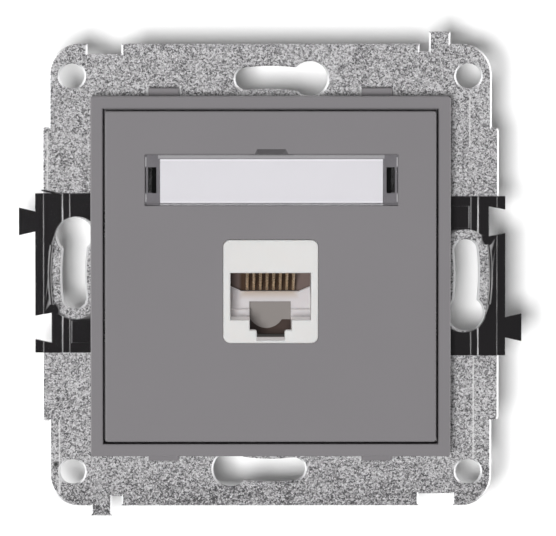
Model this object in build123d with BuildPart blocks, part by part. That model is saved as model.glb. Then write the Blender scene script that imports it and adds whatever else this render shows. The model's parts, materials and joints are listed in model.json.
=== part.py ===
from build123d import *
import os
from math import asin, degrees

os.makedirs("parts", exist_ok=True)

# Ethernet socket insert for a wall box, in millimetres.
# X is to the right, Z is up and the front faces -Y.
# The wall plane is y = 0, which is the back face of the mounting plate.
# The origin is the centre of the four fixing slots on that face.


def front(distance):
    # Sketch plane facing the viewer at a distance in front of the wall plane
    return Plane.XZ.offset(distance)


# Fixing slots, on the 60 mm spacing of wall boxes
fixing_r = 30.3
slot_width = 3.5
slot_end = 3.6
keyhole_r = 2.7
keyhole_side = 6.1
keyhole_up = fixing_r - 0.2

# Mounting plate, which reaches past the fixing slots
sheet = 1.0
side_margin = 2.05
end_margin = 3.55
plate_width = 2 * (fixing_r + slot_width / 2 + side_margin)
plate_height = 2 * (fixing_r + slot_width / 2 + end_margin)
plate_drop = 0.15
plate_corner_r = 4.7
wing_step = 1.1
wing_width = plate_width + 2 * wing_step
wing_height = 45.2
rolled_edge = 0.3
corner_hole_inset = 5.1
corner_pitch = plate_height - 2 * corner_hole_inset
corner_hole_r = 1.9

# Turning tab, its relief and the notch at the other corner
tab_inset = 8.05
tab_x = plate_width / 2 - tab_inset
tab_width = 3.3
tab_rise = 1.7
relief_width = 1.4
relief_depth = 1.3
edge_notch_inset = 8.6
edge_notch_x = plate_width / 2 - edge_notch_inset
edge_notch_width = 5.2
edge_notch_depth = 1.7

# Cover ring inside the fixing slots, and the parts of the plate that take it
slot_clearance = 1.05
ring_outer = 2 * (fixing_r - slot_width / 2 - slot_clearance)
ring_border = 1.87
ring_front = 9.0
ledge_rise = 2.0
ledge_reach = 4.5
ledge_opening = ring_outer - 2 * ledge_reach
centre_rim = 2.5
centre_opening = ring_outer - 2 * centre_rim
clip_x = 16.4
clip_notch_width = 4.7
clip_reach = 1.2
clip_notch_out = ring_outer / 2 + clip_reach
clip_inset = 1.5
clip_in = ring_outer / 2 - clip_inset
clip_play = 0.06
clip_rise = 2.0
clip_barb = 0.4

# Frame couplers, one on each side
coupler_height = 24.5
coupler_lift = 0.23
coupler_overhang = 0.95
coupler_edge = wing_width / 2 + coupler_overhang
coupler_overlap = 1.5
coupler_inner = ring_outer / 2 - coupler_overlap
coupler_rise = 1.6
coupler_play = 0.12
dovetail_z = coupler_height / 3
tongue_length = 2.5
tongue_root = 3.1
tongue_tip = 4.25
groove_depth = 2.5
groove_mouth = 3.6
groove_floor = 4.6
cutout_width = 6.7
cutout_top = 5.6
rim_line = coupler_edge - 1.28
block_line = coupler_edge - 4.2
pad_line = coupler_edge - 5.3
strip_step = 0.6
pad_step = 0.25
panel_step = 0.65
bead = 0.5
peg_r = 0.9
peg_reach = 1.7
peg_x = ring_outer / 2 + peg_reach
peg_top = coupler_height / 2 - 1.6
peg_bottom = coupler_height / 2 - 2.4

# Cover plate
cover_gap = 0.35
cover_front = 9.5
cover_skin = 2.0
skirt = 1.3
guide_leg = 1.0
label_x = 0.13
label_drop = 12.75
label_z = ring_outer / 2 - label_drop
window_width = 38.5
window_height = 7.65
window_play = 0.1
pocket_depth = 2.1
pocket_floor = 1.0
card_width = window_width - 4.45
card_height = window_height - 0.9
card_z = label_z - 0.2
card_play = 0.05
card_thickness = 0.35
window_skin = 1.1
leg_x = window_width / 2 - 1.03
leg_hole_width = 1.3
leg_hole_height = 3.9
leg_width = 0.6
leg_length = 3.2
nail_width = 5.4
nail_height = 0.95
nail_depth = 1.1
nail_slope = 40

# Jack housing
jack_z = -2.24
jack_width = 14.5
jack_height = 15.8
jack_edge_r = 0.24
jack_corner_r = 1.1
jack_front = 10.1
jack_back = -6.5
jack_play = 0.15
jack_fit = 0.05
port_width = 12.3
port_top = 0.6
port_bottom = -6.55
port_depth = 11.0
lip = 0.15
latch_width = 6.4
latch_bottom = -8.1
catch_width = 4.25
catch_bottom = -9.65
shoulder_r = 0.35
shoulder_depth = 1.6
back_wall = 1.4
sill_z = -2.75
hole_top = -4.3
ledge_step = 1.1
ledge_depth = 2.0
chamber_half = 4.4
chamber_rise = 0.75
chamber_top = 4.2
chamber_front = 7.4
rear_room_half = port_width / 2 + 0.25
guide_x = -0.6
guide_r = 2.95
guide_height = 2.55
guide_neck = 4.25
guide_thickness = 1.0
arm_width = 7.0
lug_width = 10.0
lug_rise = 1.0
lug_thickness = 1.2

# Contacts
contact_count = 8
contact_pitch = 1.016
wire_r = 0.25
root_front = 6.6
root_top = 3.3
bend_z = 1.35
tip_front = -1.5
tip_z = -2.4

# Circuit board, terminal blocks and caps
board_width = 15.0
board_height = 17.6
board_thickness = 1.2
block_gap = 1.2
block_width = 7.2
block_height = 16.4
block_depth = 7.5
terminal_pitch = 4.0
wire_slot = 1.2
wire_slot_depth = 5.0
blade_thickness = 0.45
blade_width = 3.0
blade_height = 6.0
blade_slit = 0.4
blade_slit_depth = 3.4
cap_wall = 1.0
cap_top = 1.2
cap_skirt = 3.0
cap_play = 0.15

# Module holder behind the plate
holder_size = ring_outer - 2.0
holder_r = fixing_r - 1.4
holder_thickness = 1.8
sleeve_front = 2.0
sleeve_back = -4.5
sleeve_top = 8.2
sleeve_wall = 1.7
hook_z = 8.0
hook_height = 4.0
hook_over = 0.5
rib = 1.2

# Derived sizes
ring_inner = ring_outer - 2 * ring_border
cover_size = ring_inner - 2 * cover_gap
ledge_front = sheet + ledge_rise
skin_back = cover_front - cover_skin
pocket_front = cover_front - pocket_depth
coupler_front = sheet + coupler_rise
clip_out = clip_notch_out - clip_play
slot_start_angle = 90 - degrees(asin(keyhole_side / fixing_r))
slot_sweep = degrees(asin(keyhole_side / fixing_r)) + degrees(asin(slot_end / fixing_r))
slot_line = CenterArc((0, 0), fixing_r, slot_start_angle, slot_sweep)
cutout_start_angle = 180 - degrees(asin(cutout_top / fixing_r))
cutout_sweep = degrees(asin(cutout_top / fixing_r)) + degrees(asin(slot_end / fixing_r))
cutout_line = CenterArc((0, 0), fixing_r, cutout_start_angle, cutout_sweep)
jack_top = jack_z + jack_height / 2
jack_bottom = jack_z - jack_height / 2
port_back = jack_front - port_depth
rear_room_front = port_back - back_wall
board_back = jack_back - board_thickness
block_back = board_back - block_depth
block_x = (block_gap + block_width) / 2
contact_span = (contact_count - 1) * contact_pitch


# Mounting plate of zinc coated sheet, with four fixing slots a quarter turn apart
with BuildPart() as mounting_plate:
    with BuildSketch(front(0)):
        with Locations((0, -plate_drop)):
            RectangleRounded(plate_width, plate_height, plate_corner_r)
        RectangleRounded(wing_width, wing_height, 2 * rolled_edge)
        with PolarLocations(0, 2):
            with Locations((tab_x, plate_height / 2)):
                Rectangle(tab_width, 2 * tab_rise)
            with Locations((tab_x - (tab_width + relief_width) / 2, plate_height / 2)):
                Rectangle(relief_width, 2 * relief_depth, mode=Mode.SUBTRACT)
            with Locations((-edge_notch_x, plate_height / 2)):
                Rectangle(edge_notch_width, 2 * edge_notch_depth, mode=Mode.SUBTRACT)
            # Room for the coupler's dovetail groove
            with Locations((-coupler_edge, -dovetail_z)):
                Rectangle(
                    2 * (groove_depth + coupler_play),
                    groove_floor + 4 * coupler_play,
                    mode=Mode.SUBTRACT,
                )
            with Locations((-peg_x, peg_top), (-peg_x, -peg_bottom)):
                Circle(peg_r + coupler_play / 2, mode=Mode.SUBTRACT)
        Rectangle(centre_opening, centre_opening, mode=Mode.SUBTRACT)
        with GridLocations(2 * clip_x, 0, 2, 1):
            Rectangle(clip_notch_width, 2 * clip_notch_out, mode=Mode.SUBTRACT)
        with GridLocations(corner_pitch, corner_pitch, 2, 2):
            Circle(corner_hole_r, mode=Mode.SUBTRACT)
        with PolarLocations(0, 4):
            with Locations((keyhole_side, keyhole_up)):
                Circle(keyhole_r, mode=Mode.SUBTRACT)
            SlotArc(slot_line, slot_width, mode=Mode.SUBTRACT)
    extrude(amount=sheet)
    # Punched edges roll over on the front face
    chamfer(mounting_plate.faces().sort_by(Axis.Y)[0].edges(), rolled_edge)
    # Bevels under the clip notches, where the barbs of the ring catch
    for x in (-clip_x, clip_x):
        for side in (-1, 1):
            with BuildSketch(Plane.YZ.offset(x - clip_notch_width / 2)):
                Polygon(
                    (0, side * (clip_notch_out - clip_play)),
                    (0, side * (clip_notch_out + clip_barb)),
                    (-clip_barb, side * clip_notch_out),
                    (-clip_barb, side * (clip_notch_out - clip_play)),
                    align=None,
                )
            extrude(amount=clip_notch_width, mode=Mode.SUBTRACT)

# Frame coupler of the left side, with its dovetail tongue above and groove below
with BuildPart() as left_coupler:
    with BuildSketch(front(sheet)):
        with Locations((-(coupler_edge + coupler_inner) / 2, coupler_lift)):
            Rectangle(coupler_edge - coupler_inner, coupler_height)
        SlotArc(cutout_line, cutout_width, mode=Mode.SUBTRACT)
        # Corner of the groove's block, which steps into the cut-out
        with Locations((-block_line - 0.5, -slot_end - 1.0)):
            Rectangle(groove_depth - 1.1, cutout_width / 2 - 0.8, align=(Align.MAX, Align.MAX))
        with Locations((-coupler_edge, dovetail_z)):
            Polygon(
                (0, -tongue_root / 2),
                (0, tongue_root / 2),
                (-tongue_length, tongue_tip / 2),
                (-tongue_length, -tongue_tip / 2),
                align=None,
            )
    extrude(amount=coupler_rise)
    # Rim outside the edge of the plate, down to the wall plane
    with BuildSketch(front(0)):
        with Locations((-coupler_edge, coupler_lift)):
            Rectangle(
                coupler_edge - wing_width / 2 - coupler_play,
                coupler_height,
                align=(Align.MIN, Align.CENTER),
            )
        with Locations((-peg_x, peg_top), (-peg_x, -peg_bottom)):
            Circle(peg_r)
    extrude(amount=sheet)
    # Outer strip, channel and inner pads step down from the raised band
    with BuildSketch(front(coupler_front - strip_step)):
        with Locations((-rim_line, 0)):
            Rectangle(2 * tongue_length, coupler_height + 2, align=(Align.MAX, Align.CENTER))
        with Locations((-block_line, 0)):
            Rectangle(block_line - pad_line, coupler_height + 2, align=(Align.MIN, Align.CENTER))
    extrude(amount=coupler_rise, mode=Mode.SUBTRACT)
    with BuildSketch(front(coupler_front - pad_step)):
        with Locations((-pad_line, 0)):
            Rectangle(pad_line - coupler_inner + 1, coupler_height + 2, align=(Align.MIN, Align.CENTER))
    extrude(amount=coupler_rise, mode=Mode.SUBTRACT)
    # Sunk panel beside the groove
    with BuildSketch(front(coupler_front - panel_step)):
        with Locations((-pad_line + 0.3, coupler_lift - coupler_height / 2 + 1.5)):
            Rectangle(pad_line - coupler_inner + 1, tongue_root + 0.3, align=(Align.MIN, Align.MIN))
    extrude(amount=coupler_rise, mode=Mode.SUBTRACT)
    # Bead that follows the outside of the cut-out
    with BuildSketch(front(coupler_front)):
        SlotArc(cutout_line, cutout_width + 2 * bead)
        SlotArc(cutout_line, cutout_width, mode=Mode.SUBTRACT)
        with Locations((-block_line - 1.2, 0)):
            Rectangle(
                cutout_width, dovetail_z + 1, align=(Align.MAX, Align.CENTER), mode=Mode.INTERSECT
            )
    extrude(amount=bead / 2)
    with BuildSketch(front(0)):
        with Locations((-coupler_edge, -dovetail_z)):
            Polygon(
                (-0.1, -groove_mouth / 2),
                (-0.1, groove_mouth / 2),
                (groove_depth, groove_floor / 2),
                (groove_depth, -groove_floor / 2),
                align=None,
            )
    extrude(amount=2 * coupler_front, mode=Mode.SUBTRACT)

# Frame coupler of the right side, the same piece after a half turn
with BuildPart() as right_coupler:
    add(left_coupler.part.rotate(Axis.Y, 180))

# Square cover ring with an inner ledge and four clip feet
with BuildPart() as cover_ring:
    with BuildSketch(front(sheet)):
        RectangleRounded(ring_outer, ring_outer, 0.4)
        Rectangle(ring_inner, ring_inner, mode=Mode.SUBTRACT)
    extrude(amount=ring_front - sheet)
    chamfer(cover_ring.faces().sort_by(Axis.Y)[0].edges(), 0.15)
    with BuildSketch(front(sheet)):
        Rectangle(ring_inner + ring_border, ring_inner + ring_border)
        Rectangle(ledge_opening, ledge_opening, mode=Mode.SUBTRACT)
    extrude(amount=ledge_rise)
    # Reliefs over the inner ends of the couplers
    with BuildSketch(front(sheet)):
        with GridLocations(2 * coupler_inner, 0, 2, 1):
            Rectangle(
                ring_outer - 2 * coupler_inner + 6 * coupler_play,
                coupler_height + 2 * coupler_lift + 0.6,
            )
    extrude(amount=coupler_rise + 0.1, mode=Mode.SUBTRACT)
    # Gaps in the ledge for the hooks of the module holder
    with BuildSketch(front(sheet)):
        with GridLocations(ledge_opening, 2 * hook_z, 2, 2):
            Rectangle(5.2, hook_height + 0.8)
    extrude(amount=ledge_rise, mode=Mode.SUBTRACT)
    # Clip feet in the notches of the plate, with barbs in the bevels
    with BuildSketch(front(0)):
        with GridLocations(2 * clip_x, clip_in + clip_out, 2, 2):
            Rectangle(clip_notch_width - 2 * clip_play, clip_out - clip_in)
    extrude(amount=sheet + clip_rise)
    for x in (-clip_x, clip_x):
        for side in (-1, 1):
            with BuildSketch(Plane.YZ.offset(x - clip_notch_width / 2 + clip_play)):
                Polygon(
                    (0, side * (clip_out - clip_barb)),
                    (0, side * (clip_out + clip_barb)),
                    (-clip_barb, side * clip_out),
                    (-clip_barb, side * (clip_out - clip_barb)),
                    align=None,
                )
            extrude(amount=clip_notch_width - 2 * clip_play)

# Cover plate with the label pocket and the cut-out for the jack
with BuildPart() as cover_plate:
    with BuildSketch(front(skin_back)):
        RectangleRounded(cover_size, cover_size, 0.4)
    extrude(amount=cover_skin)
    fillet(cover_plate.faces().sort_by(Axis.Y)[0].edges(), 0.35)
    # Skirt that stands on the ledge of the ring
    with BuildSketch(front(ledge_front)):
        Rectangle(cover_size, cover_size)
        Rectangle(cover_size - 2 * skirt, cover_size - 2 * skirt, mode=Mode.SUBTRACT)
    extrude(amount=skin_back - ledge_front)
    # Guide legs inside the ledge, above and below
    with BuildSketch(front(sheet + 0.4)):
        with GridLocations(2 * clip_x, ledge_opening - 2 * cover_gap - guide_leg, 2, 2):
            Rectangle(6, guide_leg)
    extrude(amount=skin_back - sheet - 0.4)
    # Backs of the label pocket and of the jack's cut-out
    with BuildSketch(front(pocket_front - pocket_floor)):
        with Locations((label_x, label_z)):
            Rectangle(window_width + 3, window_height + 3)
    extrude(amount=skin_back - pocket_front + pocket_floor)
    with BuildSketch(front(skin_back - 1.6)):
        with Locations((0, jack_z)):
            Rectangle(jack_width + 2.6, jack_height + 2.6)
    extrude(amount=1.6)
    with BuildSketch(front(pocket_front)):
        with Locations((label_x, label_z)):
            Rectangle(window_width + 2 * window_play, window_height + 2 * window_play)
    extrude(amount=pocket_depth, mode=Mode.SUBTRACT)
    with BuildSketch(front(cover_front)):
        with Locations((label_x - leg_x, label_z), (label_x + leg_x, label_z)):
            Rectangle(leg_hole_width, leg_hole_height)
        with Locations((0, jack_z)):
            RectangleRounded(
                jack_width + 2 * jack_fit, jack_height + 2 * jack_fit, jack_corner_r + jack_fit
            )
    extrude(amount=-cover_front, mode=Mode.SUBTRACT)
    # Fingernail scoop above the window, with sloping sides
    with BuildSketch(front(cover_front)):
        with Locations((label_x, label_z + window_height / 2)):
            Polygon(
                (-nail_width / 2, -2 * nail_height),
                (nail_width / 2, -2 * nail_height),
                (nail_width / 2, 0),
                (nail_width / 2 - nail_height / 2, nail_height),
                (-nail_width / 2 + nail_height / 2, nail_height),
                (-nail_width / 2, 0),
                align=None,
            )
    extrude(amount=-nail_depth, taper=nail_slope, mode=Mode.SUBTRACT)

# Paper label on the floor of the pocket
with BuildPart() as label_card:
    with BuildSketch(front(pocket_front)):
        with Locations((label_x, card_z)):
            Rectangle(card_width, card_height)
    extrude(amount=card_thickness)

# Clear window over the label, with a leg at each end
with BuildPart() as label_window:
    with BuildSketch(front(pocket_front)):
        with Locations((label_x, label_z)):
            Rectangle(window_width, window_height)
    extrude(amount=pocket_depth)
    fillet(label_window.faces().sort_by(Axis.Y)[0].edges(), 0.2)
    with BuildSketch(front(pocket_front)):
        with Locations((label_x, card_z)):
            Rectangle(card_width + 2 * card_play, card_height + 2 * card_play)
    extrude(amount=pocket_depth - window_skin, mode=Mode.SUBTRACT)
    with BuildSketch(front(pocket_front)):
        for side in (-1, 1):
            with Locations((label_x + side * (leg_x + leg_width / 2 - 0.05), label_z)):
                Rectangle(leg_width, leg_hole_height - 0.4)
    extrude(amount=-leg_length)

# Jack housing with the stepped plug port
with BuildPart() as jack_housing:
    with BuildSketch(front(jack_back)):
        with Locations((0, jack_z)):
            RectangleRounded(jack_width, jack_height, jack_corner_r)
    extrude(amount=jack_front - jack_back)
    fillet(jack_housing.faces().sort_by(Axis.Y)[0].edges(), jack_edge_r)
    # Port, latch channel and catch channel, with rounded shoulders between the channels
    with BuildSketch(front(jack_front)) as port_outline:
        with Locations((0, port_top)):
            Rectangle(port_width, port_top - port_bottom, align=(Align.CENTER, Align.MAX))
            Rectangle(latch_width, port_top - latch_bottom, align=(Align.CENTER, Align.MAX))
            Rectangle(catch_width, port_top - catch_bottom, align=(Align.CENTER, Align.MAX))
        shoulders = port_outline.vertices().group_by(Axis.Y)[1].sort_by(Axis.X)[1:3]
        fillet(shoulders, shoulder_r)
    extrude(amount=-port_depth, mode=Mode.SUBTRACT)
    lip_face = jack_housing.faces().filter_by(Axis.Y).sort_by(Axis.Y)[0]
    chamfer(lip_face.inner_wires()[0].edges(), lip)
    # Behind the shoulders the latch channel is as deep as the catch channel
    with BuildSketch(front(port_back)):
        with Locations((0, port_top)):
            Rectangle(latch_width, port_top - catch_bottom, align=(Align.CENTER, Align.MAX))
    extrude(amount=port_depth - shoulder_depth, mode=Mode.SUBTRACT)
    # Contact chamber above the port, open to the back, with a floor that rises to the sides
    with BuildSketch(front(jack_back)):
        Polygon(
            (-chamber_half, sill_z),
            (chamber_half, sill_z),
            (port_width / 2, sill_z + chamber_rise),
            (port_width / 2, port_top),
            (chamber_half, port_top),
            (chamber_half, chamber_top),
            (-chamber_half, chamber_top),
            (-chamber_half, port_top),
            (-port_width / 2, port_top),
            (-port_width / 2, sill_z + chamber_rise),
            align=None,
        )
    extrude(amount=chamber_front - jack_back, mode=Mode.SUBTRACT)
    # Room behind the back wall, and the hole in that wall
    with BuildSketch(front(jack_back)):
        with Locations((0, catch_bottom)):
            Rectangle(2 * rear_room_half, chamber_top - catch_bottom, align=(Align.CENTER, Align.MIN))
    extrude(amount=rear_room_front - jack_back, mode=Mode.SUBTRACT)
    with BuildSketch(front(rear_room_front)):
        with Locations((0, hole_top)):
            Rectangle(latch_width, hole_top - catch_bottom, align=(Align.CENTER, Align.MAX))
    extrude(amount=back_wall, mode=Mode.SUBTRACT)
    # Plug stops on the floor of the port
    with BuildSketch(front(port_back)):
        for side in (-1, 1):
            with Locations((side * (port_width + latch_width) / 4, port_bottom)):
                Rectangle(
                    (port_width - latch_width) / 2, ledge_step, align=(Align.CENTER, Align.MIN)
                )
    extrude(amount=ledge_depth)
    # Latch arm above, with a barb in front of the sleeve
    with BuildSketch(Plane.YZ.offset(-arm_width / 2)):
        with BuildLine():
            Polyline(
                (-jack_back - 0.2, jack_top - 0.2),
                (-jack_back - 0.2, jack_top + 1.8),
                (-sleeve_front, jack_top + 1.8),
                (-sleeve_front, sleeve_top + 0.8),
                (-sleeve_front - 0.5, sleeve_top + 0.8),
                (-sleeve_front - 1.4, jack_top + 1.8),
                (-sleeve_front - 1.4, jack_top + 0.8),
                (-jack_back - 1.8, jack_top + 0.8),
                (-jack_back - 1.8, jack_top - 0.2),
                close=True,
            )
        make_face()
    extrude(amount=arm_width)
    # Fixed lugs below, in front of the sleeve and behind it
    with BuildSketch(front(sleeve_front)):
        with Locations((0, jack_bottom + 0.2)):
            Rectangle(lug_width, lug_rise + 0.2, align=(Align.CENTER, Align.MAX))
    extrude(amount=lug_thickness)
    with BuildSketch(front(sleeve_back)):
        with Locations((0, jack_bottom + 0.2)):
            Rectangle(lug_width, lug_rise + 0.2, align=(Align.CENTER, Align.MAX))
    extrude(amount=-lug_thickness)

# Carrier of the contacts, pushed into the chamber from the back
with BuildPart() as contact_carrier:
    with BuildSketch(front(jack_back)):
        with Locations((0, chamber_top)):
            Rectangle(
                2 * (chamber_half - jack_play),
                chamber_top - root_top + 1.4,
                align=(Align.CENTER, Align.MAX),
            )
    extrude(amount=chamber_front - 0.2 - jack_back)
    # Wall that closes the room behind the wire tips
    with BuildSketch(front(rear_room_front - guide_thickness)):
        with Locations((0, chamber_top)):
            Rectangle(
                2 * (rear_room_half - jack_play),
                chamber_top - catch_bottom - jack_play,
                align=(Align.CENTER, Align.MAX),
            )
    extrude(amount=-guide_thickness)
    # Slots around the wire roots
    with BuildSketch(front(chamber_front)):
        with Locations((0, root_top - 1.6)):
            with GridLocations(contact_pitch, 1, contact_count, 1):
                Rectangle(2 * wire_r + 0.16, 1.8, align=(Align.CENTER, Align.MIN))
    extrude(amount=-(chamber_front - root_front) - wire_r - 0.12, mode=Mode.SUBTRACT)

# Guide between housing and carrier, with a rounded tongue behind the hole
with BuildPart() as latch_guide:
    with BuildSketch(front(rear_room_front)):
        with Locations((0, sill_z - jack_play)):
            Rectangle(
                2 * (rear_room_half - jack_play), guide_height, align=(Align.CENTER, Align.MAX)
            )
            Rectangle(latch_width + 2 * jack_play, guide_neck, align=(Align.CENTER, Align.MAX))
        with Locations((guide_x, sill_z - guide_r)):
            Circle(guide_r - jack_play)
    extrude(amount=-guide_thickness)

# Eight bent contact wires in a row
contact_wires = []
for number in range(contact_count):
    wire_x = number * contact_pitch - contact_span / 2
    with BuildPart() as contact_wire:
        with BuildLine(Plane.YZ.offset(wire_x)) as wire_path:
            FilletPolyline(
                (-root_front, root_top),
                (-root_front, bend_z),
                (-tip_front, tip_z),
                radius=0.5,
            )
        with BuildSketch(Plane(origin=(wire_x, -root_front, root_top), z_dir=(0, 0, -1))):
            RegularPolygon(wire_r, 12)
        sweep(path=wire_path.wires()[0])
    contact_wires.append(contact_wire.part)

# Circuit board across the back of the housing
with BuildPart() as jack_circuit_board:
    with BuildSketch(front(jack_back)):
        with Locations((0, jack_z)):
            RectangleRounded(board_width, board_height, 0.5)
    extrude(amount=-board_thickness)

# Terminal block on the right, with four wire slots and four blade pockets
with BuildPart() as right_terminal_block:
    with BuildSketch(front(board_back)):
        with Locations((block_x, jack_z)):
            Rectangle(block_width, block_height)
    extrude(amount=-block_depth)
    chamfer(right_terminal_block.faces().sort_by(Axis.Y)[-1].edges(), 0.3)
    with BuildSketch(front(block_back)):
        with Locations((block_x, jack_z)):
            with GridLocations(1, terminal_pitch, 1, 4):
                Rectangle(block_width + 1, wire_slot)
    extrude(amount=wire_slot_depth, mode=Mode.SUBTRACT)
    with BuildSketch(front(block_back)):
        with Locations((block_x, jack_z)):
            with GridLocations(1, terminal_pitch, 1, 4):
                Rectangle(blade_thickness + 0.2, blade_width + 0.2)
    extrude(amount=block_depth, mode=Mode.SUBTRACT)

with BuildPart() as left_terminal_block:
    add(right_terminal_block.part)
    mirror(about=Plane.YZ, mode=Mode.REPLACE)

# Terminal blades that stand on the board, each slit for one conductor
terminal_blades = []
for side in (1, -1):
    for number in range(4):
        blade_z = jack_z + (number - 1.5) * terminal_pitch
        with BuildPart() as terminal_blade:
            with BuildSketch(Plane.YZ.offset(side * block_x - blade_thickness / 2)):
                with Locations((-board_back, blade_z)):
                    Rectangle(blade_height, blade_width, align=(Align.MIN, Align.CENTER))
                with Locations((-board_back + blade_height, blade_z)):
                    Rectangle(
                        blade_slit_depth,
                        blade_slit,
                        align=(Align.MAX, Align.CENTER),
                        mode=Mode.SUBTRACT,
                    )
                    Polygon((0.1, -0.7), (0.1, 0.7), (-0.8, 0), align=None, mode=Mode.SUBTRACT)
            extrude(amount=blade_thickness)
        terminal_blades.append(terminal_blade.part)

# Cap that presses the conductors in, with three skirts and four ribs
with BuildPart() as right_terminal_cap:
    with BuildSketch(front(block_back)):
        with Locations((block_x - block_width / 2, jack_z)):
            Rectangle(
                block_width + cap_play + cap_wall,
                block_height + 2 * (cap_play + cap_wall),
                align=(Align.MIN, Align.CENTER),
            )
    extrude(amount=-cap_top)
    fillet(right_terminal_cap.faces().sort_by(Axis.Y)[-1].edges(), 0.4)
    with BuildSketch(front(block_back)):
        with Locations((block_x - block_width / 2, jack_z)):
            Rectangle(
                block_width + cap_play + cap_wall,
                block_height + 2 * (cap_play + cap_wall),
                align=(Align.MIN, Align.CENTER),
            )
            Rectangle(
                block_width + cap_play,
                block_height + 2 * cap_play,
                align=(Align.MIN, Align.CENTER),
                mode=Mode.SUBTRACT,
            )
        with Locations((block_x + block_width / 2 + cap_wall, jack_z)):
            with GridLocations(1, terminal_pitch, 1, 4):
                Rectangle(3, wire_slot + 0.6, mode=Mode.SUBTRACT)
    extrude(amount=cap_skirt)
    with BuildSketch(front(block_back)):
        for shift in (-2.1, 2.1):
            with Locations((block_x + shift, jack_z)):
                with GridLocations(1, terminal_pitch, 1, 4):
                    Rectangle(1.6, wire_slot - 2 * cap_play)
    extrude(amount=2.4)

with BuildPart() as left_terminal_cap:
    add(right_terminal_cap.part)
    mirror(about=Plane.YZ, mode=Mode.REPLACE)

# Module holder behind the plate, with a sleeve around the jack
with BuildPart() as module_holder:
    with BuildSketch(front(0)):
        Circle(holder_r)
        Rectangle(holder_size, holder_size, mode=Mode.INTERSECT)
    extrude(amount=-holder_thickness)
    sleeve_z = (sleeve_top + jack_bottom - jack_play) / 2
    sleeve_height = sleeve_top - jack_bottom + jack_play
    with BuildSketch(front(sleeve_back)):
        with Locations((0, sleeve_z)):
            Rectangle(jack_width + 2 * (jack_play + sleeve_wall), sleeve_height + 2 * sleeve_wall)
    extrude(amount=sleeve_front - sleeve_back)
    # Ribs across the back
    with BuildSketch(front(-holder_thickness)):
        with Locations((0, sleeve_z)):
            Rectangle(holder_size - 6, rib)
        with GridLocations(jack_width, 0, 2, 1):
            Rectangle(rib, holder_size - 8)
    extrude(amount=-2.0)
    with BuildSketch(front(sleeve_back - 1)):
        with Locations((0, sleeve_z)):
            Rectangle(jack_width + 2 * jack_play, sleeve_height)
    extrude(amount=sleeve_front - sleeve_back + 2, mode=Mode.SUBTRACT)
    # Hooks through the opening of the plate, over its front face
    for side in (-1, 1):
        for z in (-hook_z, hook_z):
            with BuildSketch(Plane.XY.offset(z - hook_height / 2)):
                Polygon(
                    (side * (centre_opening / 2 - 1.5), 0.3),
                    (side * (centre_opening / 2 - 0.1), 0.3),
                    (side * (centre_opening / 2 - 0.1), -sheet),
                    (side * (centre_opening / 2 + hook_over), -sheet),
                    (side * (centre_opening / 2 - 0.1), -sheet - 0.9),
                    (side * (centre_opening / 2 - 1.5), -sheet - 0.9),
                    align=None,
                )
            extrude(amount=hook_height)


pieces = {
    "mounting_plate": mounting_plate.part,
    "left_coupler": left_coupler.part,
    "right_coupler": right_coupler.part,
    "cover_ring": cover_ring.part,
    "cover_plate": cover_plate.part,
    "label_card": label_card.part,
    "label_window": label_window.part,
    "jack_housing": jack_housing.part,
    "contact_carrier": contact_carrier.part,
    "latch_guide": latch_guide.part,
    "jack_circuit_board": jack_circuit_board.part,
    "right_terminal_block": right_terminal_block.part,
    "left_terminal_block": left_terminal_block.part,
    "right_terminal_cap": right_terminal_cap.part,
    "left_terminal_cap": left_terminal_cap.part,
    "module_holder": module_holder.part,
}
for number, wire in enumerate(contact_wires, start=1):
    pieces[f"contact_wire_{number}"] = wire
for number, blade in enumerate(terminal_blades, start=1):
    pieces[f"terminal_blade_{number}"] = blade

for name, piece in pieces.items():
    piece.label = name
    export_step(piece, f"parts/{name}.step")
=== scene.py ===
import json
from math import radians
import bmesh
import bpy
from mathutils import Matrix, Vector


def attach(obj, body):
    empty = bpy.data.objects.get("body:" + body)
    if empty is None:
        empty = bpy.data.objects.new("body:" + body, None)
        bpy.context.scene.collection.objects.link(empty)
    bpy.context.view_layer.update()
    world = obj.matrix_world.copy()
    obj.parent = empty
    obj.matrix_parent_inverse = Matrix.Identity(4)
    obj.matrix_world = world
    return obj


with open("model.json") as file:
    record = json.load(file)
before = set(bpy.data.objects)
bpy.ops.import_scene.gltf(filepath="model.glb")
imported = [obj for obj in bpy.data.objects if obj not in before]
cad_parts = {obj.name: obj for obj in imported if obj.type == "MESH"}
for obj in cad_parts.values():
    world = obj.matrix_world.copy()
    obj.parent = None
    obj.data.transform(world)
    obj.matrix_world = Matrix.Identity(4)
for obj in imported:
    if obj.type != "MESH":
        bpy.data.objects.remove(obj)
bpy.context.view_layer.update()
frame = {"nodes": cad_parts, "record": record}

# Metres in a millimetre, and plain colours
MM = 0.001
BLACK = (0.0, 0.0, 0.0, 1.0)
WHITE = (1.0, 1.0, 1.0, 1.0)
CLEAR = (0.93, 0.93, 0.94, 1.0)
COVER_GREY = (0.206, 0.197, 0.206)

# Spans in millimetres that a finish follows: open past the cover, cover to sheet, window front, sheet
OPEN = (-20.0, 20.0)
TO_SHEET = (-20.0, 0.0)
WINDOW_FRONT = (-20.0, -8.0)
SHEET = (-3.0, 1.0)

# Plug port: lip, far end, half width, floor and roof, and the catch channel under it, which has a
# painted glow from the lip to CATCH_LIT and painted shade beyond
PORT_FACE = -9.8
PORT_END = 8.0
PORT_HALF = 6.4
PORT_HEIGHT = (-10.3, 0.85)
CATCH_HALF = 2.6
CATCH_HEIGHT = (-9.8, -9.1)
CATCH_LIT = -1.9

# Label: middle of the window, its legs and their holes, and the card
LABEL_X = 0.13
LEG_X = 18.22
LEG_HALF = 0.65
LEG_TURN = 0.05
LEG_HEIGHT = (12.75, 16.76)
HOLE_HALF = 0.75
HOLE_HEIGHT = (12.6, 16.9)
HOLE_FACE = -7.36
CARD_Z = 14.55
CARD_HALF = 3.2
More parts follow.
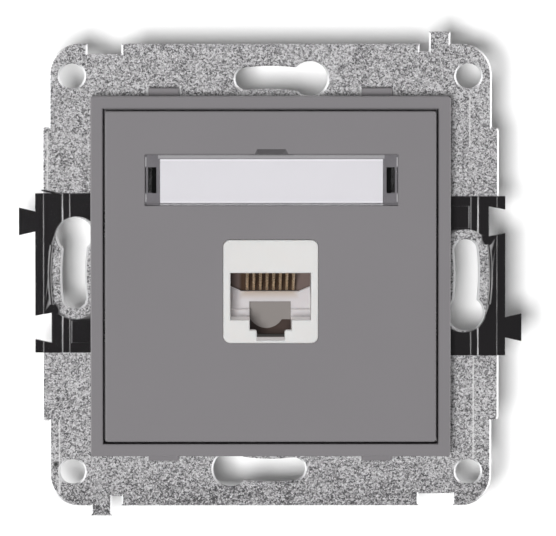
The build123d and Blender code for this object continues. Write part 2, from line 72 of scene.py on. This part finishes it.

# Couplers: the edge with the strongest painted highlight, how far a painted edge highlight reaches,
# and the ridge above the left one
BLOCK_LINE = 31.95
EDGE_REACH = 0.19
RIDGE_SIZE = (2.95, 0.5, 0.26)
RIDGE_PLACE = (-33.75, -1.24, 12.65)
RIDGE_SLANT = 11.5
RIDGE_ROUND = 0.06

# Pressed lines of the sheet: x, and the z where each starts and ends
PRESSED_LINES = (
    (-34.3, 13.0, 22.0), (-32.5, -34.0, -22.5), (31.3, -28.5, -12.6), (30.7, 19.5, 27.5))

# Rounding of each finish: width in millimetres and segments
SOFT_EDGES = {
    "zinc_steel": (0.06, 3), "black_plastic": (0.2, 1), "grey_plastic": (0.08, 3),
    "white_plastic": (0.12, 3), "brown_plastic": (0.06, 3), "dull_plastic": (0.08, 3),
    "cream_plastic": (0.1, 3), "clear_plastic": (0.08, 3),
}
EDGE_ANGLE = 35
EVEN_WEIGHT = 90

# Stage: wall, lamps and camera, in metres but for the camera's lens and sensor in millimetres
WALL_BEHIND = 0.025
WALL_RADIUS = 3.0
WALL_SIDES = 96
WALL_GLOW = 0.03
WORLD_LIGHT = 0.17
KEY_PLACE = (-0.13, -1.5, -0.04)
KEY_SIZE = (0.24, 0.2)
KEY_WATTS = 23.0
STRIP_OUT = 0.6
STRIP_FRONT = -0.06
STRIP_SIZE = (0.16, 1.2)
STRIP_WATTS = 3.4
CAMERA_PLACE = (-0.007, -0.9285, 0.046)
CAMERA_LENS = 390.4
CAMERA_SENSOR = 36.0
CAMERA_SHIFT = (0.0140, 0.0104)
CAMERA_REACH = (0.05, 20.0)


# Shader helpers

def new_group(name, inputs, outputs):
    group = bpy.data.node_groups.new(name, "ShaderNodeTree")
    for title, kind, value in inputs:
        socket = group.interface.new_socket(name=title, in_out="INPUT", socket_type=kind)
        if value is not None:
            socket.default_value = value
    for title, kind in outputs:
        group.interface.new_socket(name=title, in_out="OUTPUT", socket_type=kind)
    return group, group.nodes.new("NodeGroupInput"), group.nodes.new("NodeGroupOutput")


# Each input is a plain value or another node's output
def give(tree, node, inputs):
    for key, value in inputs.items():
        if isinstance(value, (int, float, tuple)):
            node.inputs[key].default_value = value
        else:
            tree.links.new(value, node.inputs[key])


def add(tree, kind, inputs=None, **settings):
    node = tree.nodes.new(kind)
    for key, value in settings.items():
        setattr(node, key, value)
    give(tree, node, inputs or {})
    return node


def coordinate(tree, kind="Object"):
    return add(tree, "ShaderNodeTexCoord").outputs[kind]


def axes_of(tree, vector):
    return add(tree, "ShaderNodeSeparateXYZ", {0: vector}).outputs


def calculate(tree, operation, *values, clamp=False):
    inputs = dict(enumerate(values))
    return add(tree, "ShaderNodeMath", inputs, operation=operation, use_clamp=clamp).outputs[0]


def vector_math(tree, operation, *vectors):
    inputs = dict(enumerate(vectors))
    return add(tree, "ShaderNodeVectorMath", inputs, operation=operation).outputs[0]


# One operation over several values in turn
def chain(tree, operation, first, *others):
    for value in others:
        first = calculate(tree, operation, first, value)
    return first


# Sum of patterns or masks, each with its share
def weighted(tree, *parts):
    return chain(tree, "ADD", *(calculate(tree, "MULTIPLY", value, share) for value, share in parts))


def map_range(tree, value, low, high, to_low=0.0, to_high=1.0):
    node = add(tree, "ShaderNodeMapRange", {
        "Value": value, "From Min": low, "From Max": high, "To Min": to_low, "To Max": to_high})
    return node.outputs["Result"]


def noise(tree, vector, scale, detail=2.0, rough=0.5, output="Fac"):
    node = add(tree, "ShaderNodeTexNoise", {
        "Vector": vector, "Scale": scale, "Detail": detail, "Roughness": rough})
    return node.outputs[output]


def mix_colors(tree, factor, first, second):
    return add(tree, "ShaderNodeMix", {0: factor, 6: first, 7: second}, data_type="RGBA").outputs[2]


def mix_shaders(tree, factor, first, second):
    return add(tree, "ShaderNodeMixShader", {0: factor, 1: first, 2: second}).outputs[0]


def tinted(colour, share):
    return tuple(value * share for value in colour) + (1.0,)


# Relief with its depth in millimetres, over the relief under it where there is one
def bump(tree, height, strength, depth, under=None):
    node = add(tree, "ShaderNodeBump", {"Strength": strength, "Distance": depth * MM, "Height": height})
    if under is not None:
        give(tree, node, {"Normal": under})
    return node.outputs[0]


# Moulded surface: slow colour drift, fine spark-eroded grain and light scuffs
def moulded_group():
    tree, inside, outside = new_group(
        "moulded surface",
        [("Colour", "NodeSocketColor", (0.5, 0.5, 0.5, 1.0)), ("Drift", "NodeSocketFloat", 0.04),
         ("Grain", "NodeSocketFloat", 4500.0), ("Roughness", "NodeSocketFloat", 0.4)],
        [("Colour", "NodeSocketColor"), ("Roughness", "NodeSocketFloat"), ("Height", "NodeSocketFloat")])
    place = coordinate(tree)
    around = calculate(tree, "SUBTRACT", noise(tree, place, scale=60.0, detail=3.0), 0.5)
    change = chain(tree, "MULTIPLY", around, inside.outputs["Drift"], 2.0)
    gain = calculate(tree, "ADD", change, 1.0)
    scaled = add(tree, "ShaderNodeVectorMath", {
        0: inside.outputs["Colour"], "Scale": gain}, operation="SCALE")
    scuffs = noise(tree, place, scale=700.0, detail=4.0, rough=0.7)
    scuff = map_range(tree, scuffs, 0.3, 0.7, -0.04, 0.06)
    give(tree, outside, {
        "Colour": scaled.outputs[0],
        "Roughness": calculate(tree, "ADD", inside.outputs["Roughness"], scuff, clamp=True),
        "Height": noise(tree, place, inside.outputs["Grain"]),
    })
    return tree


# Zinc spangle: random crystals, dark pits and bright flecks, with painted shade along the lower edge
# of the sheet and a painted highlight on the sideways-facing rolled edges, which are rubbed smooth
def zinc_group():
    tree, inside, outside = new_group(
        "zinc spangle",
        [("Crystal", "NodeSocketFloat", 4300.0),
         ("Dark", "NodeSocketColor", (0.075, 0.073, 0.077, 1.0)),
         ("Light", "NodeSocketColor", (0.73, 0.72, 0.735, 1.0)),
         ("Rim", "NodeSocketColor", (0.85, 0.85, 0.86, 1.0))],
        [("Colour", "NodeSocketColor"), ("Roughness", "NodeSocketFloat"), ("Height", "NodeSocketFloat")])
    place = coordinate(tree)
    warp = noise(tree, place, scale=3600.0, output="Color")
    warp_reach = (0.26 * MM, 0.26 * MM, 0.26 * MM)
    bent = vector_math(tree, "MULTIPLY_ADD", warp, warp_reach, place)
    cells = add(tree, "ShaderNodeTexVoronoi", {
        "Vector": bent, "Scale": inside.outputs["Crystal"]}, feature="F1")
    crystal = add(tree, "ShaderNodeSeparateColor", {0: cells.outputs["Color"]}).outputs
    fine = noise(tree, place, scale=6300.0, rough=0.6)
    coarse = noise(tree, place, scale=520.0)
    grains = weighted(tree, (crystal[0], 0.42), (fine, 0.9), (coarse, 0.2))
    # Painted shade: the sheet grows darker towards its lower edge
    lower_painted_shade = map_range(tree, axes_of(tree, place)["Z"], -36.0 * MM, -29.0 * MM, -0.1, 0.0)
    tone = calculate(tree, "ADD", grains, lower_painted_shade)
    level = map_range(tree, tone, 0.53, 0.97)
    grained = mix_colors(tree, level, inside.outputs["Dark"], inside.outputs["Light"])
    fleck = map_range(tree, noise(tree, place, scale=3300.0, detail=1.0), 0.62, 0.7, 0.0, 0.8)
    grained = mix_colors(tree, fleck, grained, inside.outputs["Rim"])
    # Painted highlight: on edges facing sideways, where flat falls off, the bright colour replaces the
    # spangle
    sideways = calculate(tree, "ABSOLUTE", axes_of(tree, coordinate(tree, "Normal"))["X"])
    flat = calculate(tree, "SUBTRACT", 1.0, map_range(tree, sideways, 0.25, 0.6), clamp=True)
    rim_roughness = 0.42
    face_roughness = map_range(tree, crystal[1], 0.0, 1.0, 0.34, 0.62)
    rubbed = add(tree, "ShaderNodeMix", {
        0: flat, 2: rim_roughness, 3: face_roughness}, data_type="FLOAT")
    give(tree, outside, {
        "Colour": mix_colors(tree, flat, inside.outputs["Rim"], grained),
        "Roughness": rubbed.outputs[0],
        "Height": calculate(tree, "MULTIPLY", tone, flat),
    })
    return tree


# Faint pressed lines down the side strips of the sheet
def pressed_group():
    tree, inside, outside = new_group(
        "pressed lines", [("Width", "NodeSocketFloat", 0.2 * MM)], [("Height", "NodeSocketFloat")])
    axes = axes_of(tree, coordinate(tree))
    lines = []
    for x, low, high in PRESSED_LINES:
        away = calculate(tree, "ABSOLUTE", calculate(tree, "SUBTRACT", axes["X"], x * MM))
        share = calculate(tree, "DIVIDE", away, inside.outputs["Width"])
        near = calculate(tree, "SUBTRACT", 1.0, share, clamp=True)
        above = calculate(tree, "GREATER_THAN", axes["Z"], low * MM)
        below = calculate(tree, "LESS_THAN", axes["Z"], high * MM)
        lines.append(chain(tree, "MULTIPLY", near, above, below))
    give(tree, outside, {"Height": chain(tree, "ADD", *lines)})
    return tree


# Soft mask of a box in the piece's own frame
def box_group():
    tree, inside, outside = new_group(
        "box mask",
        [("Low", "NodeSocketVector", None), ("High", "NodeSocketVector", None),
         ("Soft", "NodeSocketFloat", 0.1 * MM)],
        [("Mask", "NodeSocketFloat")])
    place = coordinate(tree)
    above = vector_math(tree, "SUBTRACT", place, inside.outputs["Low"])
    below = vector_math(tree, "SUBTRACT", inside.outputs["High"], place)
    axes = axes_of(tree, vector_math(tree, "MINIMUM", above, below))
    depth = chain(tree, "MINIMUM", axes["X"], axes["Y"], axes["Z"])
    give(tree, outside, {"Mask": calculate(tree, "DIVIDE", depth, inside.outputs["Soft"], clamp=True)})
    return tree


BOX = box_group()
MOULDED = moulded_group()
ZINC = zinc_group()
PRESSED = pressed_group()


# Mask of a box, from its spans and the width of its soft edge in millimetres
def box_mask(tree, soft, x=OPEN, y=OPEN, z=OPEN):
    low, high = (tuple(value * MM for value in corner) for corner in zip(x, y, z))
    inputs = {"Low": low, "High": high, "Soft": soft * MM}
    return add(tree, "ShaderNodeGroup", inputs, node_tree=BOX).outputs["Mask"]


def empty_material(name):
    material = bpy.data.materials.new(name)
    material.use_nodes = True
    tree = material.node_tree
    tree.nodes.clear()
    shader = add(tree, "ShaderNodeBsdfPrincipled")
    add(tree, "ShaderNodeOutputMaterial", {"Surface": shader.outputs[0]})
    return material, tree, shader


def show(tree, surface):
    give(tree, tree.nodes["Material Output"], {"Surface": surface})


# Painted highlights on the upright edges of a coupler, found from a rounded normal on surfaces that
# face the front
def coupler_edge_highlights(tree, shade):
    rounded = add(tree, "ShaderNodeBevel", {"Radius": EDGE_REACH * MM}, samples=6)
    tilt = calculate(tree, "ABSOLUTE", axes_of(tree, rounded.outputs[0])["X"])
    edge_highlight = map_range(tree, tilt, 0.08, 0.32)
    facing = axes_of(tree, add(tree, "ShaderNodeNewGeometry").outputs["True Normal"])
    front = calculate(tree, "LESS_THAN", facing["Y"], -0.8)
    within = box_mask(tree, soft=0.02, x=(-35.6, 35.6), z=(-30.0, 30.0))
    place = coordinate(tree)
    broken = map_range(tree, noise(tree, place, scale=300.0), 0.35, 0.6, 0.55, 1.0)
    across = calculate(tree, "ABSOLUTE", axes_of(tree, place)["X"])
    away = calculate(tree, "ABSOLUTE", calculate(tree, "SUBTRACT", across, BLOCK_LINE * MM))
    strong = map_range(tree, away, 0.25 * MM, 0.4 * MM, 1.0, 0.42)
    # Painted highlight, strongest on the block line and broken along its length
    mask = chain(tree, "MULTIPLY", edge_highlight, front, within, broken, strong)
    return mix_colors(tree, mask, shade, (0.85, 0.84, 0.85, 1.0))


# Painted shade on the cover: in the gap over the window, in the fingernail notch and in the leg holes
def cover_painted_shade(tree, shade):
    gap_shade = box_mask(tree, soft=0.05, x=(-19.1, 19.35), y=TO_SHEET, z=(18.58, 18.8))
    shade = mix_colors(tree, gap_shade, shade, tinted(COVER_GREY, 0.55))
    notch_shade = box_mask(tree, soft=0.03, x=(-3.4, 3.6), y=(-9.46, 0.0), z=(18.3, 19.9))
    shade = mix_colors(tree, notch_shade, shade, tinted(COVER_GREY, 0.5))
    for x in (LABEL_X - LEG_X, LABEL_X + LEG_X):
        sides = (x - HOLE_HALF, x + HOLE_HALF)
        hole_shade = box_mask(tree, soft=0.03, x=sides, y=(HOLE_FACE, 0.0), z=HOLE_HEIGHT)
        shade = mix_colors(tree, hole_shade, shade, (0.012, 0.011, 0.012, 1.0))
    return shade


# Upper half of the contact carrier: painted light at its ends and painted shade behind the wires
def carrier_painted_shading(tree, shade):
    upper = (-4.0, 20.0)
    shade = mix_colors(tree, box_mask(tree, soft=1.5, z=upper), shade, (0.14, 0.105, 0.095, 1.0))
    # Painted shade behind the wires
    behind = box_mask(tree, soft=0.5, x=(-4.9, 4.3), z=upper)
    return mix_colors(tree, behind, shade, (0.055, 0.032, 0.02, 1.0))


def port_inside(tree):
    return box_mask(
        tree, soft=0.5, x=(-PORT_HALF, PORT_HALF), y=(PORT_FACE + 0.1, PORT_END), z=PORT_HEIGHT)


def catch_floor(tree, y):
    return box_mask(tree, soft=0.1, x=(-CATCH_HALF, CATCH_HALF), y=y, z=CATCH_HEIGHT)


# Painted shade inside the plug port, a painted warm reflection of the wires under them and painted
# shade at the far end of the catch channel
def port_painted_shading(tree, shade):
    shade = mix_colors(tree, port_inside(tree), shade, (0.545, 0.522, 0.53, 1.0))
    # Painted warm reflection of the wires on the wall under them
    wire_reflection = box_mask(tree, soft=1.2, x=(-4.9, 4.5), y=(PORT_FACE + 1.0, PORT_END), z=(-4.0, -0.5))
    shade = mix_colors(tree, calculate(tree, "MULTIPLY", wire_reflection, 0.75), shade, (0.42, 0.33, 0.25, 1.0))
    # Painted shade on the far end of the catch channel
    return mix_colors(tree, catch_floor(tree, (CATCH_LIT, PORT_END)), shade, (0.06, 0.04, 0.035, 1.0))


# Painted glow inside the plug port, on its floors and sides and on the near catch floor
def port_painted_glow(tree):
    normal = axes_of(tree, coordinate(tree, "Normal"))
    floor = calculate(tree, "MAXIMUM", normal["Z"], 0.0)
    side = calculate(tree, "ABSOLUTE", normal["X"])
    lit = catch_floor(tree, (PORT_FACE - 0.1, CATCH_LIT))
    dark = catch_floor(tree, (CATCH_LIT, PORT_END))
    everywhere = 0.015
    places = weighted(tree, (floor, 0.24), (side, 0.1), (lit, 0.13), (dark, -0.215))
    amount = calculate(tree, "ADD", places, everywhere)
    # Painted glow: emission only inside the port
    glow = calculate(tree, "MULTIPLY", port_inside(tree), amount)
    return mix_colors(tree, glow, BLACK, (0.95, 0.91, 0.9, 1.0))


# A moulding, with painted light and shade on its own places and a painted glow where it has them
def plastic(name, colour, roughness, drift=0.05, grain=4500.0, relief=0.15, coat=0.0, scatter=0.0,
            painted_light=None, glow=None):
    material, tree, shader = empty_material(name)
    surface = add(tree, "ShaderNodeGroup", {
        "Colour": tinted(colour, 1.0), "Drift": drift, "Grain": grain, "Roughness": roughness,
    }, node_tree=MOULDED).outputs
    give(tree, shader, {
        "Base Color": painted_light(tree, surface["Colour"]) if painted_light else surface["Colour"],
        "Roughness": surface["Roughness"],
        "Coat Weight": coat,
        "Subsurface Weight": scatter,
        "Subsurface Radius": (1.0, 0.9, 0.85),
        "Subsurface Scale": 1.5 * MM,
        "Normal": bump(tree, surface["Height"], relief, depth=0.02),
    })
    if glow:
        give(tree, shader, {"Emission Color": glow(tree), "Emission Strength": 1.0})
    return material


# The sheet, with its pressed lines and a painted highlight along them, a small dark spot at the lower
# left and a painted highlight on the roll of the left edge
def zinc_steel():
    material, tree, shader = empty_material("zinc coated sheet")
    surface = add(tree, "ShaderNodeGroup", node_tree=ZINC).outputs
    pressed = add(tree, "ShaderNodeGroup", node_tree=PRESSED).outputs["Height"]
    # Painted highlight along the pressed lines
    bright = calculate(tree, "MULTIPLY", pressed, 0.8, clamp=True)
    shade = mix_colors(tree, bright, surface["Colour"], (0.9, 0.89, 0.9, 1.0))
    dark_spot = box_mask(tree, soft=0.4, x=(-33.6, -32.5), y=SHEET, z=(-29.85, -28.75))
    shade = mix_colors(tree, dark_spot, shade, (0.05, 0.05, 0.05, 1.0))
    # Painted highlight on the roll of the left edge
    rolled = box_mask(tree, soft=0.08, x=(-36.0, -34.95), y=SHEET, z=(22.5, 31.0))
    shade = mix_colors(tree, rolled, shade, (0.93, 0.93, 0.94, 1.0))
    spangle = bump(tree, surface["Height"], 0.35, depth=0.05)
    give(tree, shader, {
        "Base Color": shade,
        "Roughness": surface["Roughness"],
        "Metallic": 0.25,
        "Normal": bump(tree, pressed, 0.6, depth=0.12, under=spangle),
    })
    return material


def drawn_metal(name, colour, roughness):
    material, tree, shader = empty_material(name)
    worn = noise(tree, coordinate(tree), scale=2600.0, detail=3.0)
    give(tree, shader, {
        "Base Color": mix_colors(tree, worn, tinted(colour, 0.75), tinted(colour, 1.15)),
        "Roughness": map_range(tree, worn, 0.3, 0.7, roughness - 0.06, roughness + 0.08),
        "Metallic": 1.0,
        "Normal": bump(tree, worn, 0.1, depth=0.02),
    })
    return material


# Painted shade in the window: on its low band and on the two halves of each leg
def window_painted_shade(tree):
    # Painted shade on the low band
    low = box_mask(tree, soft=0.05, y=WINDOW_FRONT, z=(10.5, 11.35))
    shade = mix_colors(tree, low, CLEAR, (0.62, 0.62, 0.62, 1.0))
    for side in (-1, 1):
        # Painted shade on each leg, near black on the inner half and grey on the outer half
        for near, far, tint in ((-LEG_HALF, LEG_TURN, 0.003), (LEG_TURN, LEG_HALF, 0.6)):
            sides = sorted(LABEL_X + side * (LEG_X + reach) for reach in (near, far))
            leg_shade = box_mask(tree, soft=0.03, x=sides, y=WINDOW_FRONT, z=LEG_HEIGHT)
            shade = mix_colors(tree, leg_shade, shade, (tint, tint, tint, 1.0))
    return shade


# Painted glow on the ends of the window, faint at the height of the legs, and along a band at its top
def window_painted_glow(tree):
    clear = box_mask(tree, soft=0.05, x=(-18.98, 19.24), y=TO_SHEET, z=(0.0, 30.0))
    ends = box_mask(tree, soft=0.1, y=WINDOW_FRONT, z=(11.4, 18.3))
    level = box_mask(tree, soft=0.3, y=TO_SHEET, z=(12.5, 17.0))
    fade = map_range(tree, level, 0.0, 1.0, 0.26, 0.02)
    # Painted glow on the ends, fading at the height of the legs
    glow_level = chain(tree, "MULTIPLY", calculate(tree, "SUBTRACT", 1.0, clear), ends, fade)
    band = box_mask(tree, soft=0.08, x=(-17.2, 17.4), y=WINDOW_FRONT, z=(18.0, 18.6))
    glow_level = calculate(tree, "MAXIMUM", glow_level, calculate(tree, "MULTIPLY", band, 0.17))
    return mix_colors(tree, glow_level, BLACK, WHITE)


# Clear window, which lets the lamps' light straight through to the card
def clear_plastic():
    material, tree, shader = empty_material("clear plastic")
    place = coordinate(tree)
    smears = noise(tree, place, scale=900.0, detail=3.0)
    waves = noise(tree, place, scale=240.0, detail=1.0)
    give(tree, shader, {
        "Base Color": window_painted_shade(tree),
        "Roughness": map_range(tree, smears, 0.3, 0.7, 0.02, 0.07),
        "Emission Color": window_painted_glow(tree),
        "Emission Strength": 1.0,
        "Transmission Weight": 1.0,
        "IOR": 1.49,
        "Normal": bump(tree, waves, 0.03, depth=0.1),
    })
    rays = add(tree, "ShaderNodeLightPath").outputs
    straight = calculate(tree, "MAXIMUM", rays["Is Shadow Ray"], rays["Is Diffuse Ray"])
    through = add(tree, "ShaderNodeBsdfTransparent", {"Color": CLEAR})
    show(tree, mix_shaders(tree, straight, shader.outputs[0], through.outputs[0]))
    return material


# Card of the label, with its fibres along X and a brighter strip along its top and bottom
def card_stock():
    material, tree, shader = empty_material("card")
    fibre = add(tree, "ShaderNodeMapping", {"Vector": coordinate(tree), "Scale": (1.0, 1.0, 3.0)})
    mottle = noise(tree, fibre.outputs[0], scale=1800.0, detail=4.0, rough=0.7)
    shade = mix_colors(tree, mottle, (0.77, 0.755, 0.77, 1.0), (0.85, 0.835, 0.85, 1.0))
    middle = box_mask(tree, soft=0.2, z=(CARD_Z - CARD_HALF, CARD_Z + CARD_HALF))
    give(tree, shader, {
        "Base Color": mix_colors(tree, middle, (0.94, 0.92, 0.94, 1.0), shade),
        "Roughness": 0.9,
        "Normal": bump(tree, mottle, 0.3, depth=0.03),
    })
    return material


def board_laminate():
    material, tree, shader = empty_material("lacquered board")
    place = coordinate(tree)
    weave = add(tree, "ShaderNodeTexBrick", {
        "Vector": place,
        "Scale": 420.0,
        "Color1": (0.02, 0.13, 0.05, 1.0),
        "Color2": (0.03, 0.17, 0.07, 1.0),
        "Mortar": (0.015, 0.09, 0.04, 1.0),
    })
    give(tree, shader, {
        "Base Color": weave.outputs["Color"],
        "Roughness": map_range(tree, noise(tree, place, scale=900.0), 0.3, 0.7, 0.25, 0.4),
        "Normal": bump(tree, weave.outputs["Fac"], 0.2, depth=0.02),
    })
    return material


MATERIALS = {
    "zinc_steel": zinc_steel(),
    "black_plastic": plastic(
        "black plastic", (0.0115, 0.0105, 0.0115), 0.2, drift=0.2, grain=3000.0, relief=0.06, coat=0.1,
        painted_light=coupler_edge_highlights),
    "grey_plastic": plastic(
        "grey plastic", COVER_GREY, 0.5, drift=0.03, grain=5200.0, relief=0.22, painted_light=cover_painted_shade),
    "white_plastic": plastic(
        "white plastic", (0.685, 0.677, 0.668), 0.34, drift=0.03, grain=3500.0, relief=0.1, scatter=0.6,
        painted_light=port_painted_shading, glow=port_painted_glow),
    "dull_plastic": plastic(
        "dull plastic", (0.225, 0.208, 0.198), 0.45, drift=0.06, grain=3500.0, relief=0.12),
    "brown_plastic": plastic(
        "brown plastic", (0.052, 0.036, 0.031), 0.35, drift=0.15, grain=3500.0, relief=0.12,
        painted_light=carrier_painted_shading),
    "cream_plastic": plastic("cream plastic", (0.66, 0.63, 0.55), 0.42, grain=3500.0),
    "clear_plastic": clear_plastic(),
    "card": card_stock(),
    "board_laminate": board_laminate(),
    "contact_bronze": drawn_metal("gold flashed wire", (0.6, 0.46, 0.29), 0.28),
    "blade_bronze": drawn_metal("tinned blade", (0.7, 0.68, 0.62), 0.33),
}


# Finish and soft edges of every node of the CAD part
def dress(node, slot):
    node.data.materials.clear()
    node.data.materials.append(MATERIALS[slot])
    if slot in SOFT_EDGES:
        width, segments = SOFT_EDGES[slot]
        weld = node.modifiers.new("merge", "WELD")
        weld.merge_threshold = MM / 1000
        edge = node.modifiers.new("soft edges", "BEVEL")
        edge.width = width * MM
        edge.segments = segments
        edge.limit_method = "ANGLE"
        edge.angle_limit = radians(EDGE_ANGLE)
        edge.use_clamp_overlap = True
    node.modifiers.new("even normals", "WEIGHTED_NORMAL").weight = EVEN_WEIGHT


SLOTS = {row["node"]: row["material_slot"] for row in frame["record"]["subparts"]}
for name, node in frame["nodes"].items():
    dress(node, SLOTS[name])


def new_object(name, shape, material):
    mesh = bpy.data.meshes.new(name)
    shape.to_mesh(mesh)
    shape.free()
    piece = bpy.data.objects.new(name, mesh)
    bpy.context.collection.objects.link(piece)
    piece.data.materials.append(material)
    return piece


# Thin black ridge that runs out over the sheet above the left coupler
def coupler_ridge():
    shape = bmesh.new()
    bmesh.ops.create_cube(shape, size=1.0)
    bmesh.ops.scale(shape, verts=shape.verts, vec=[size * MM for size in RIDGE_SIZE])
    bmesh.ops.bevel(shape, geom=shape.edges[:], offset=RIDGE_ROUND * MM, affect="EDGES", segments=2,
                    profile=0.5, material=-1)
    slant = Matrix.Rotation(radians(RIDGE_SLANT), 4, "Y")
    place = Matrix.Translation([value * MM for value in RIDGE_PLACE])
    bmesh.ops.transform(shape, matrix=place @ slant, verts=shape.verts)
    ridge = new_object("coupler_ridge", shape, MATERIALS["black_plastic"])
    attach(ridge, "insert_body")


# Pale wall, a little brighter to the camera and clear from the back
def pale_wall():
    material, tree, shader = empty_material("pale wall")
    tone = mix_colors(tree, noise(tree, coordinate(tree), scale=8.0), (0.98, 0.98, 0.98, 1.0), WHITE)
    give(tree, shader, {"Base Color": tone, "Roughness": 0.9, "Specular IOR Level": 0.0})
    glow = add(tree, "ShaderNodeEmission", {"Strength": WALL_GLOW})
    brighter = add(tree, "ShaderNodeAddShader", {0: shader.outputs[0], 1: glow.outputs[0]})
    seen = add(tree, "ShaderNodeLightPath").outputs["Is Camera Ray"]
    front = mix_shaders(tree, seen, shader.outputs[0], brighter.outputs[0])
    behind = add(tree, "ShaderNodeNewGeometry").outputs["Backfacing"]
    clear = add(tree, "ShaderNodeBsdfTransparent")
    show(tree, mix_shaders(tree, behind, front, clear.outputs[0]))
    return material


# Stage: the wall close behind the part
def stage_wall():
    shape = bmesh.new()
    turn = Matrix.Translation((0, WALL_BEHIND, 0)) @ Matrix.Rotation(radians(90), 4, "X")
    bmesh.ops.create_circle(shape, segments=WALL_SIDES, radius=WALL_RADIUS, matrix=turn, cap_ends=True)
    if shape.faces[:][0].normal.y > 0:
        bmesh.ops.reverse_faces(shape, faces=shape.faces[:])
    wall = new_object("backdrop", shape, pale_wall())
    wall.visible_shadow = False


# Soft light from all sides, seen as plain white behind the part and through the window
def studio_world():
    world = bpy.data.worlds.new("studio")
    bpy.context.scene.world = world
    world.use_nodes = True
    tree = world.node_tree
    tree.nodes.clear()
    shade = map_range(tree, axes_of(tree, coordinate(tree, "Generated"))["Z"], -1.0, 1.0, 0.75, 1.0)
    tone = add(tree, "ShaderNodeCombineColor", {"Red": shade, "Green": shade, "Blue": shade})
    soft = add(tree, "ShaderNodeBackground", {"Color": tone.outputs[0], "Strength": WORLD_LIGHT})
    white = add(tree, "ShaderNodeBackground", {"Color": WHITE, "Strength": 1.0})
    rays = add(tree, "ShaderNodeLightPath").outputs
    seen = calculate(tree, "MAXIMUM", rays["Is Camera Ray"], rays["Is Transmission Ray"])
    both = mix_shaders(tree, seen, soft.outputs[0], white.outputs[0])
    add(tree, "ShaderNodeOutputWorld", {"Surface": both})


# A lamp that shows in reflections only, or else lights the part and shows in none
def soft_box(name, place, size, watts, mirrored):
    data = bpy.data.lights.new(name, "AREA")
    data.shape = "RECTANGLE"
    data.size, data.size_y = size
    data.energy = watts
    lamp = bpy.data.objects.new(name, data)
    bpy.context.collection.objects.link(lamp)
    lamp.location = place
    lamp.visible_glossy = mirrored
    lamp.visible_diffuse = not mirrored
    lamp.visible_transmission = False
    lamp.rotation_euler = (-Vector(place)).to_track_quat("-Z", "Y").to_euler()


def camera():
    data = bpy.data.cameras.new("camera")
    data.sensor_width = CAMERA_SENSOR
    data.lens = CAMERA_LENS
    data.shift_x, data.shift_y = CAMERA_SHIFT
    data.clip_start, data.clip_end = CAMERA_REACH
    view = bpy.data.objects.new("camera", data)
    bpy.context.collection.objects.link(view)
    view.location = CAMERA_PLACE
    view.rotation_euler = (-Vector(CAMERA_PLACE)).to_track_quat("-Z", "Y").to_euler()
    bpy.context.scene.camera = view


coupler_ridge()
stage_wall()
studio_world()
soft_box("key from lower left", KEY_PLACE, KEY_SIZE, KEY_WATTS, mirrored=False)
for name, x in (("left strip", -STRIP_OUT), ("right strip", STRIP_OUT)):
    soft_box(name, (x, STRIP_FRONT, 0.0), STRIP_SIZE, STRIP_WATTS, mirrored=True)
camera()

bpy.context.scene.view_settings.view_transform = "Standard"
